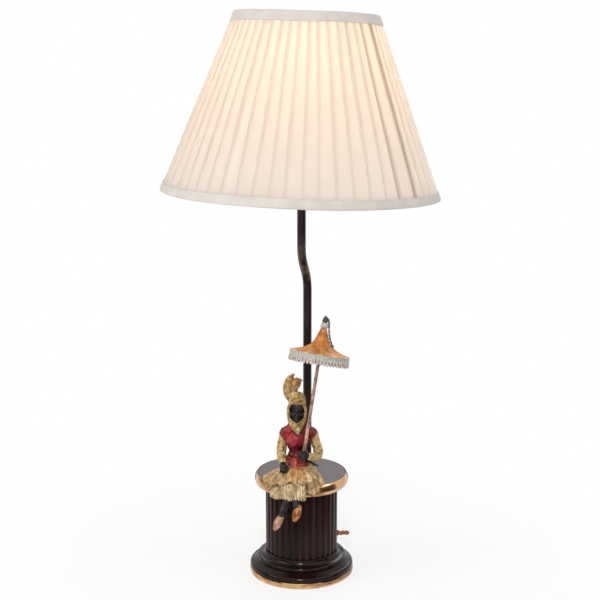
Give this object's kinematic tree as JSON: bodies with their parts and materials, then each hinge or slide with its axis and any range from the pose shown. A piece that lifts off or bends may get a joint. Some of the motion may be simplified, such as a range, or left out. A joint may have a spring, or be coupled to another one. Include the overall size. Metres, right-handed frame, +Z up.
{
  "type": "figural table lamp",
  "caption": "Table lamp: cold-painted seated figure with a parasol on a fluted drum, bent bronze stem and round pleated empire shade.",
  "frame": {"origin": "centre of the foot, on the surface that the lamp stands on", "axes": "+Z up; the figure faces -Y; +X is to the viewer's right"},
  "size_m": [0.3045, 0.3136, 0.6305],
  "materials": {
    "felt": "green baize",
    "brass": "polished, a little tarnished",
    "dark_wood": "ebonised mahogany, French polished",
    "disc_lacquer": "black lacquer, high gloss",
    "steel": "zinc plated",
    "iron": "as cast",
    "bronze_tube": "dark bronze patina",
    "insulator": "moulded phenolic",
    "liner_board": "pressed fibre board",
    "bulb_glass": "pearl",
    "bulb_metal": "satin",
    "frame_wire": "white enamel",
    "silk_cover": "knife pleated silk",
    "silk_lining": "plain silk lining",
    "braid": "folded silk trim",
    "paint_ochre": "cold painted, worn",
    "paint_cream": "cold painted, worn",
    "paint_red": "cold painted, satin",
    "paint_rose": "cold painted, worn",
    "paint_gold": "gilt, worn",
    "patina_dark": "dark bronze patina",
    "paint_copper": "cold painted, metallic",
    "paint_celadon": "cold painted, worn",
    "paint_pink": "cold painted, worn",
    "flex": "twisted silk covering",
    "plug_plastic": "moulded brown"
  },
  "bodies": {
    "lamp": {"felt_pad": "felt", "foot_ring": "brass", "moulded_base": "dark_wood", "fluted_drum": "dark_wood", "top_band": "brass", "top_disc": "disc_lacquer", "under_plate": "steel", "plate_screws": "steel", "ballast_weight": "iron", "stem_tube": "bronze_tube", "stem_collar": "bronze_tube", "stem_fixings": "steel", "cord_gland": "brass", "inner_lead": "flex", "socket_cap": "brass", "socket_shell": "brass", "socket_liner": "liner_board", "socket_core": "insulator", "screw_liner": "brass", "centre_contact": "brass", "figure_skirt": "paint_ochre", "figure_ruffle": "paint_cream", "figure_torso": "paint_red", "figure_sash": "paint_rose", "figure_head": "patina_dark", "figure_headdress": "paint_gold", "figure_plume": "paint_gold", "figure_right_arm": "paint_cream", "figure_left_arm": "paint_cream", "figure_hands": "patina_dark", "figure_legs": "patina_dark", "figure_shoes": "paint_copper", "figure_dagger": "patina_dark", "figure_stud": "steel", "cord_lead": "flex", "cord_coil": "flex", "cord_tail": "flex", "plug_body": "plug_plastic", "plug_blades": "brass"},
    "switch": {"switch_bar": "insulator"},
    "ring_nut": {"shade_ring_nut": "brass"},
    "bulb": {"bulb_cap": "bulb_metal", "bulb_contact": "insulator", "bulb_glass": "bulb_glass", "bulb_mount": "bulb_glass"},
    "shade": {"fitter_ring": "frame_wire", "fitter_arms": "frame_wire", "shade_top_wire": "frame_wire", "shade_bottom_wire": "frame_wire", "shade_struts": "frame_wire", "shade_lining": "silk_lining", "pleated_cover": "silk_cover", "top_trim": "braid", "bottom_trim": "braid"},
    "parasol": {"parasol_staff": "paint_pink", "parasol_canopy": "paint_copper", "parasol_fringe": "paint_celadon", "parasol_finial": "patina_dark", "parasol_beads": "patina_dark"}
  },
  "joints": [
    {"name": "shade_turn", "type": "hinge", "parent": "lamp", "child": "shade", "pos_m": [0, 0, 0.489], "axis": [0, 0, 1], "continuous": true},
    {"name": "ring_nut_turn", "type": "hinge", "parent": "lamp", "child": "ring_nut", "pos_m": [0, 0, 0.495], "axis": [0, 0, 1], "continuous": true},
    {"name": "bulb_turn", "type": "hinge", "parent": "lamp", "child": "bulb", "pos_m": [0, 0, 0.49], "axis": [0, 0, 1], "continuous": true},
    {"name": "switch_push", "type": "slide", "parent": "lamp", "child": "switch", "axis": [1, 0, 0], "range_m": [0, 0.007]},
    {"name": "parasol_turn", "type": "hinge", "parent": "lamp", "child": "parasol", "pos_m": [0.0022, -0.041, 0.1505], "axis": [0.1576, 0.1839, 0.9702], "continuous": true}
  ]
}
